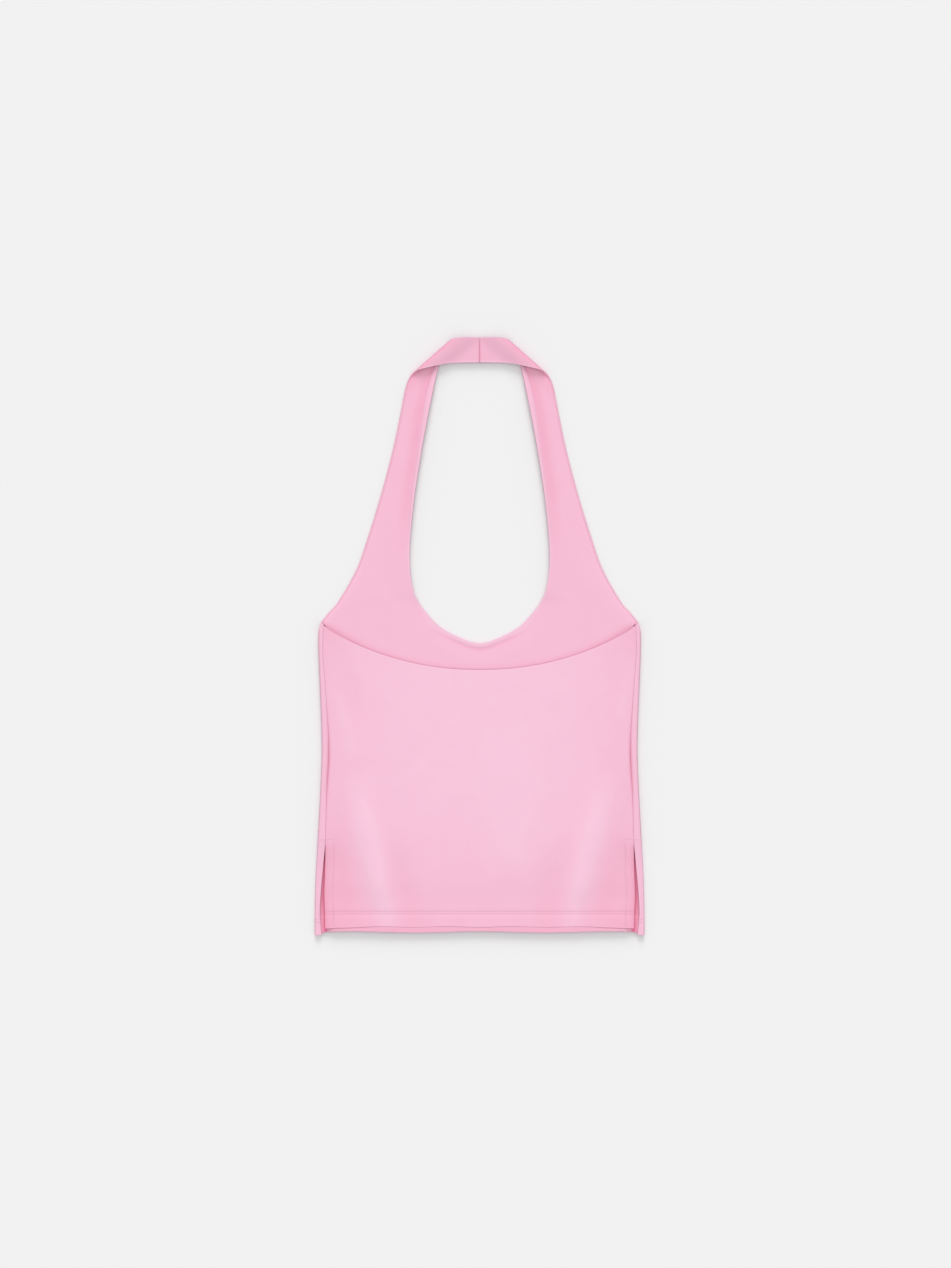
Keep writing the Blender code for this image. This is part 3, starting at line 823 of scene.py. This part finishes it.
def back_patches(cloth):
    """The back panel, side to side: doubled along its hem and its slits, with rounded edges all round."""
    wall, hemmed = cloth.wall / MM, cloth.hemmed / MM
    edge_x = float(back_edge_at(BACK_HEM_Y))
    turning = SLIT_TURNING / edge_x
    edge = 1.0 - EDGE_STEPS * (hemmed / 2.0) / edge_x
    stitch = SLIT_ROW_SHARE + np.array((0.004, 0.0, -0.004))
    turned = 1.0 - turning + np.array((0.002, -0.002))
    right = np.concatenate([edge, [0.988, 0.978, 0.966], stitch, turned])
    middle = np.linspace(-right[-1], right[-1], 116)[1:-1]
    share = np.concatenate([-right, middle, right[::-1]])[:, None]
    top = back_top(share)
    count = len(share)
    stitches = np.concatenate([[row - 0.6, row, row + 0.6] for row in BACK_HEM_ROWS])
    hem = back_hem(share, edge_x)
    rows = [
        hem + EDGE_STEPS * BACK_HEM_ROUND,
        hem + np.array((0.26, 0.4, 3.0, 6.0, 10.0)),
        np.broadcast_to(BACK_HEM_Y + stitches, (count, len(stitches))),
        spread(np.full(count, BACK_HEM_Y + 20.0), SLIT_TOP_Y, 22),
        spread(SLIT_TOP_Y, top[:, 0] - 4.0, 70)[:, 1:],
        top - np.array((2.6, 1.6, 1.0)),
        top - EDGE_STEPS[::-1] * wall / 2.0,
    ]
    y = np.concatenate(rows, axis=1)
    slit = beside_slit(y)
    edge_x = back_edge_at(y) + SEAM_CLOSED * (1.0 - slit)
    x = share * edge_x
    from_side, from_hem, from_top = edge_x - np.abs(x), y - hem, top - y
    on_hem = faded((from_hem - HEM_DEPTH - 2.0) / 0.6)
    on_slit = slit * faded((from_side - SLIT_TURNING) / 0.8)
    thickness = wall + (hemmed - wall) * np.maximum(on_hem, on_slit)
    closing = either(
        roundness(from_side, SEAM_ROUND + (SLIT_ROUND - SEAM_ROUND) * slit),
        roundness(from_hem, BACK_HEM_ROUND),
        roundness(from_top, wall / 2.0),
    )
    seam_dip = seam_depth(y, from_side) * (1.0 - slit)
    groove = 0.18 * sum(bell(y - BACK_HEM_Y - row, 0.7) for row in BACK_HEM_ROWS)
    groove = groove + 0.18 * slit * bell(np.abs(share) - SLIT_ROW_SHARE, 0.004)
    outer = stacked(x, y, back_level(x, y) - seam_dip - groove)
    shade = back_shade(x, y, from_side)
    return wall_patches(outer, -UP, thickness, closing, stacked(x, y), (shade, shade), True)


# ---- stitching


def resampled(path, spacing):
    """Points and directions at an even spacing along a path."""
    steps = np.linalg.norm(np.diff(path, axis=0), axis=1)
    reached = np.concatenate([[0.0], np.cumsum(steps)])
    count = max(1, int(round(reached[-1] / spacing)))
    middles = (np.arange(count) + 0.5) * reached[-1] / count

    def read(places):
        return stacked(*(np.interp(places, reached, axis) for axis in path.T))

    heading = read(middles + 0.5) - read(middles - 0.5)
    return read(middles), heading / np.linalg.norm(heading, axis=1, keepdims=True)


def stitch_patches(path, up, length=2.5, spacing=3.1, radius=0.24):
    """Stitches along a path: each a ring profile that swells and arches between its two needle holes."""
    centres, heading = resampled(path, spacing)
    up = np.broadcast_to(np.asarray(up, float), heading.shape)
    sideways = np.cross(up, heading)
    sideways = sideways / np.linalg.norm(sideways, axis=1, keepdims=True)
    along = np.array((-1.0, -0.92, -0.6, 0.0, 0.6, 0.92, 1.0))
    swell = np.sqrt(np.clip(1.0 - along**4, 0.0, 1.0)) * radius
    arch = 0.16 * (1.0 - along**2) - 0.1
    round_angle = np.linspace(0.0, 2.0 * math.pi, 7)
    aside = swell[:, None] * np.cos(round_angle)
    above = swell[:, None] * np.sin(round_angle) + arch[:, None]
    shape = stacked(along[:, None] * length / 2.0, aside, above)
    axes = np.stack([heading, sideways, up], axis=1)
    grids = centres[:, None, None] + np.einsum("rci,nij->nrcj", shape, axes)
    return [Patch(grid, grid[..., :2], 0.0, False) for grid in grids]


def front_hem_stitches(cloth):
    """The front hem's twin rows: on the underside, where the slits show them, and on the turned sides."""
    hemmed = cloth.hemmed / MM
    rows = []
    for row in FRONT_HEM_ROWS:
        y = HEM_Y + row
        x = np.linspace(-UNDER_ROW_END, UNDER_ROW_END, 300)
        rows += stitch_patches(stacked(x, y, curl_at(x, y) + SUNK), -UP)
        half_width, flap, back_edge = side_at(y)
        for side in (-1.0, 1.0):
            x = side * np.linspace(half_width - back_edge - 3.0, half_width - flap + 1.5, 20)
            rows += stitch_patches(stacked(x, y, curl_at(x, y) + hemmed - 0.02), UP, 1.5, 1.9)
            x = side * np.linspace(half_width - flap + 0.4, half_width - 1.0, 20)
            rows += stitch_patches(stacked(x, y, 2.0 * turn_radius(y)), UP, 2.2, 2.6, 0.2)
    return rows


# ---- materials

# Two painted shades for the jersey: the share of its red, green and blue left at full painted shade, and the
# tint of the painted shade where the cloth is seen edge-on
PAINTED_SHADE_TINT = (0.87, 0.28, 0.42)  # what is left of the cloth's red, green and blue in its deepest hollows
EDGE_ON_SHADE_TINT = (0.50, 0.46, 0.48)  # and where it is seen along its surface
OUTER_WALE, OUTER_RELIEF = 0.0007, 0.00006  # metres: a column of loops, and how far they stand out
LINING_WALE, LINING_RELIEF = 0.0006, 0.00005


def add_node(tree, kind, **settings):
    node = tree.nodes.new(kind)
    for name, value in settings.items():
        setattr(node, name, value)
    return node


def set_inputs(node, **values):
    """Gives a node's inputs their values. Underscores stand for spaces."""
    for name, value in values.items():
        node.inputs[name.replace("_", " ")].default_value = value


def new_material(name, roughness, specular):
    """A material with its node tree and its Principled shader."""
    material = bpy.data.materials.new(name)
    material.use_nodes = True
    shader = material.node_tree.nodes["Principled BSDF"]
    set_inputs(shader, Roughness=roughness, Specular_IOR_Level=specular)
    return material, material.node_tree, shader


def maths(tree, operation, first, second=None):
    """A Math node's output. first and second are sockets or numbers."""
    node = add_node(tree, "ShaderNodeMath", operation=operation)
    for socket, value in zip(node.inputs, (first, second)):
        if isinstance(value, (int, float)):
            socket.default_value = value
        elif value is not None:
            tree.links.new(value, socket)
    return node.outputs[0]


def knit_group():
    """The jersey's loops on its flat cut, columns of legs that lean to and fro, and its soft unevenness."""
    found = bpy.data.node_groups.get("jersey knit")
    if found:
        return found
    tree = bpy.data.node_groups.new("jersey knit", "ShaderNodeTree")
    link = tree.links.new
    tree.interface.new_socket("Cut", in_out="INPUT", socket_type="NodeSocketVector")
    for name, size in (("Wale", 0.0007), ("Course", 0.0006)):
        socket = tree.interface.new_socket(name, in_out="INPUT", socket_type="NodeSocketFloat")
        socket.default_value = size
    for name in ("Loops", "Cloud"):
        tree.interface.new_socket(name, in_out="OUTPUT", socket_type="NodeSocketFloat")
    entry, leave = add_node(tree, "NodeGroupInput"), add_node(tree, "NodeGroupOutput")
    parts = add_node(tree, "ShaderNodeSeparateXYZ")
    link(entry.outputs["Cut"], parts.inputs[0])
    wale = maths(tree, "DIVIDE", parts.outputs["X"], entry.outputs["Wale"])
    course = maths(tree, "DIVIDE", parts.outputs["Y"], entry.outputs["Course"])
    aside = maths(tree, "ABSOLUTE", maths(tree, "SUBTRACT", maths(tree, "FRACT", wale), 0.5))
    leg = maths(tree, "SINE", maths(tree, "MULTIPLY", aside, 2.0 * math.pi))
    lean = maths(tree, "ADD", course, maths(tree, "MULTIPLY", aside, 1.1))
    loop = maths(tree, "SINE", maths(tree, "MULTIPLY", lean, 2.0 * math.pi))
    loop = maths(tree, "MULTIPLY_ADD", loop, 0.25)
    loop.node.inputs[2].default_value = 0.75
    link(maths(tree, "MULTIPLY", leg, loop), leave.inputs["Loops"])
    noise = add_node(tree, "ShaderNodeTexNoise")
    set_inputs(noise, Scale=45.0, Detail=3.0)
    link(entry.outputs["Cut"], noise.inputs["Vector"])
    link(noise.outputs["Fac"], leave.inputs["Cloud"])
    return tree


def jersey_material(name, colour, wale, depth):
    """A jersey: its colour, deepened by the painted shade on the mesh and by a soft random cloud, with
    painted shade where it is seen edge-on, and the loops as relief."""
    material, tree, shader = new_material(name, 0.88, 0.2)
    link = tree.links.new
    set_inputs(shader, Sheen_Weight=0.06, Sheen_Roughness=0.5, Sheen_Tint=(1.0, 0.85, 0.92, 1.0))
    cut = add_node(tree, "ShaderNodeUVMap", uv_map="cut")
    knit = add_node(tree, "ShaderNodeGroup", node_tree=knit_group())
    set_inputs(knit, Wale=wale, Course=wale * 0.85)
    link(cut.outputs["UV"], knit.inputs["Cut"])
    # the mesh's painted shade, with the random cloud, mixes the colour towards its painted shade
    shade = add_node(tree, "ShaderNodeAttribute", attribute_name="shade")
    cloud = maths(tree, "MULTIPLY", maths(tree, "SUBTRACT", knit.outputs["Cloud"], 0.5), 0.09)
    tone = add_node(tree, "ShaderNodeMix", data_type="RGBA")
    shaded_colour = tuple(c * share for c, share in zip(colour, PAINTED_SHADE_TINT))
    set_inputs(tone, A=tuple(colour) + (1.0,), B=shaded_colour + (1.0,))
    link(maths(tree, "ADD", shade.outputs["Fac"], cloud), tone.inputs["Factor"])
    # painted shade where the cloth is seen edge-on
    turned = add_node(tree, "ShaderNodeLayerWeight")
    rim = add_node(tree, "ShaderNodeMix", data_type="RGBA", blend_type="MULTIPLY")
    set_inputs(rim, B=EDGE_ON_SHADE_TINT + (1.0,))
    link(turned.outputs["Facing"], rim.inputs["Factor"])
    link(tone.outputs["Result"], rim.inputs["A"])
    link(rim.outputs["Result"], shader.inputs["Base Color"])
    bump = add_node(tree, "ShaderNodeBump")
    set_inputs(bump, Strength=0.5, Distance=depth)
    link(knit.outputs["Loops"], bump.inputs["Height"])
    link(bump.outputs["Normal"], shader.inputs["Normal"])
    return material


def thread_material(colour):
    """Sewing thread: a little glossier than the cloth, with an uneven twist."""
    material, tree, shader = new_material("sewing_thread", 0.6, 0.35)
    link = tree.links.new
    place = add_node(tree, "ShaderNodeTexCoord")
    noise = add_node(tree, "ShaderNodeTexNoise")
    set_inputs(noise, Scale=900.0)
    link(place.outputs["Object"], noise.inputs["Vector"])
    tone = add_node(tree, "ShaderNodeMix", data_type="RGBA")
    darker, lighter = tuple(0.9 * c for c in colour), tuple(min(1.0, 1.1 * c) for c in colour)
    set_inputs(tone, A=darker + (1.0,), B=lighter + (1.0,))
    link(noise.outputs["Fac"], tone.inputs["Factor"])
    link(tone.outputs["Result"], shader.inputs["Base Color"])
    return material


def outer_jersey(cloth):
    found = bpy.data.materials.get("outer_jersey_knit")
    return found or jersey_material("outer_jersey_knit", cloth.outer_colour, OUTER_WALE, OUTER_RELIEF)


# ---- operators


class HALTER_OT_front(bpy.types.Operator):
    """Adds the front with both halter straps, from the hem to the neck seam"""

    bl_idname = "halter.front"
    bl_label = "Front and straps"

    def execute(self, context):
        cloth = context.scene.halter_cloth
        ribbon, ends = ribbon_patches(cloth)
        half = ribbon + body_patches(cloth, ends)
        piece = mesh_piece("front_cloth", both_halves(half), outer_jersey(cloth))
        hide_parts("front")
        return {"FINISHED"}


class HALTER_OT_lining(bpy.types.Operator):
    """Adds the lining of the bust and the straps"""

    bl_idname = "halter.lining"
    bl_label = "Lining"

    def execute(self, context):
        cloth = context.scene.halter_cloth
        jersey = jersey_material("lining_jersey_knit", cloth.lining_shaded_colour, LINING_WALE, LINING_RELIEF)
        piece = mesh_piece("lining_cloth", both_halves(lining_patches(cloth)), jersey)
        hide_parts("front_lining")
        return {"FINISHED"}


class HALTER_OT_back(bpy.types.Operator):
    """Adds the back panel"""

    bl_idname = "halter.back"
    bl_label = "Back"

    def execute(self, context):
        cloth = context.scene.halter_cloth
        piece = mesh_piece("back_cloth", back_patches(cloth), outer_jersey(cloth))
        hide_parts("back")
        return {"FINISHED"}


class HALTER_OT_stitching(bpy.types.Operator):
    """Adds the rows of stitches on the hems and beside the slits"""

    bl_idname = "halter.stitching"
    bl_label = "Stitching"

    def execute(self, context):
        cloth = context.scene.halter_cloth
        thread = thread_material(cloth.thread_colour)
        rows = []
        for row in BACK_HEM_ROWS:
            y = BACK_HEM_Y + row
            x = np.linspace(-0.995, 0.995, 200) * back_edge_at(y)
            rows += stitch_patches(stacked(x, y, back_level(x, y) - SUNK), UP)
        piece = mesh_piece("back_hem_stitches", rows, thread)
        rows = []
        y = np.linspace(BACK_HEM_Y + 1.0, TACK_Y, 120)
        for side in (-1.0, 1.0):
            x = side * SLIT_ROW_SHARE * back_edge_at(y)
            rows += stitch_patches(stacked(x, y, back_level(x, y) - SUNK), UP)
            x = side * np.linspace(TACK_START_X, TACK_END_X, 40)
            tack_y = np.linspace(TACK_Y, TACK_Y - TACK_SLANT, 40)
            on_side = np.abs(x) > TACK_STEP_X
            level = np.where(on_side, 2.0 * turn_radius(tack_y), back_level(x, tack_y))
            rows += stitch_patches(stacked(x, tack_y, level - SUNK / 2.0), UP)
        piece = mesh_piece("slit_stitches", rows, thread)
        piece = mesh_piece("front_hem_stitches", front_hem_stitches(cloth), thread)
        return {"FINISHED"}


class HALTER_OT_stage(bpy.types.Operator):
    """Adds the floor, the lights and the camera"""

    bl_idname = "halter.stage"
    bl_label = "Stage"

    def execute(self, context):
        scene = context.scene
        stage = scene.halter_stage
        bpy.ops.mesh.primitive_plane_add(size=8.0, location=(0.0, 0.0, -0.0004))
        floor = context.active_object
        floor.name = "floor"
        material, _, shader = new_material("pale_floor", 0.95, 0.0)
        set_inputs(shader, Base_Color=tuple(stage.floor_colour) + (1.0,))
        floor.data.materials.append(material)

        world = bpy.data.worlds.new("soft sky")
        scene.world = world
        world.use_nodes = True
        sky = world.node_tree.nodes["Background"]
        set_inputs(sky, Color=(1.0, 1.0, 1.0, 1.0), Strength=stage.sky)

        light = bpy.data.lights.new("window", "SUN")
        light.energy = stage.window
        light.angle = stage.window_spread
        window = bpy.data.objects.new("window", light)
        window.rotation_euler = (stage.window_height - math.pi / 2.0, 0.0, 0.0)
        scene.collection.objects.link(window)

        lens = bpy.data.cameras.new("camera")
        lens.lens = 85.0
        lens.sensor_width = 36.0
        lens.sensor_fit = "AUTO"
        lens.clip_end = 20.0
        camera = bpy.data.objects.new("camera", lens)
        camera.location = (-0.0046, 0.0028, stage.camera_height)
        scene.collection.objects.link(camera)
        scene.camera = camera
        scene.view_settings.view_transform = "Standard"
        return {"FINISHED"}


class HALTER_PT_panel(bpy.types.Panel):
    """Lists the pieces and their settings"""

    bl_idname = "HALTER_PT_panel"
    bl_label = "Halter top"
    bl_space_type = "VIEW_3D"
    bl_region_type = "UI"
    bl_category = "Halter top"

    def draw(self, context):
        for settings in (context.scene.halter_cloth, context.scene.halter_stage):
            for name in settings.__annotations__:
                self.layout.prop(settings, name)
        for operator in OPERATORS:
            self.layout.operator(operator.bl_idname)


OPERATORS = (
    HALTER_OT_front,
    HALTER_OT_lining,
    HALTER_OT_back,
    HALTER_OT_stitching,
    HALTER_OT_stage,
)
CLASSES = (ClothSettings, StageSettings) + OPERATORS + (HALTER_PT_panel,)


def register():
    for cls in CLASSES:
        bpy.utils.register_class(cls)
    bpy.types.Scene.halter_cloth = PointerProperty(type=ClothSettings)
    bpy.types.Scene.halter_stage = PointerProperty(type=StageSettings)


def unregister():
    del bpy.types.Scene.halter_stage
    del bpy.types.Scene.halter_cloth
    for cls in reversed(CLASSES):
        bpy.utils.unregister_class(cls)


def main():
    register()
    bpy.ops.halter.front()
    bpy.ops.halter.lining()
    bpy.ops.halter.back()
    bpy.ops.halter.stitching()
    bpy.ops.halter.stage()


if __name__ == "__main__":
    main()
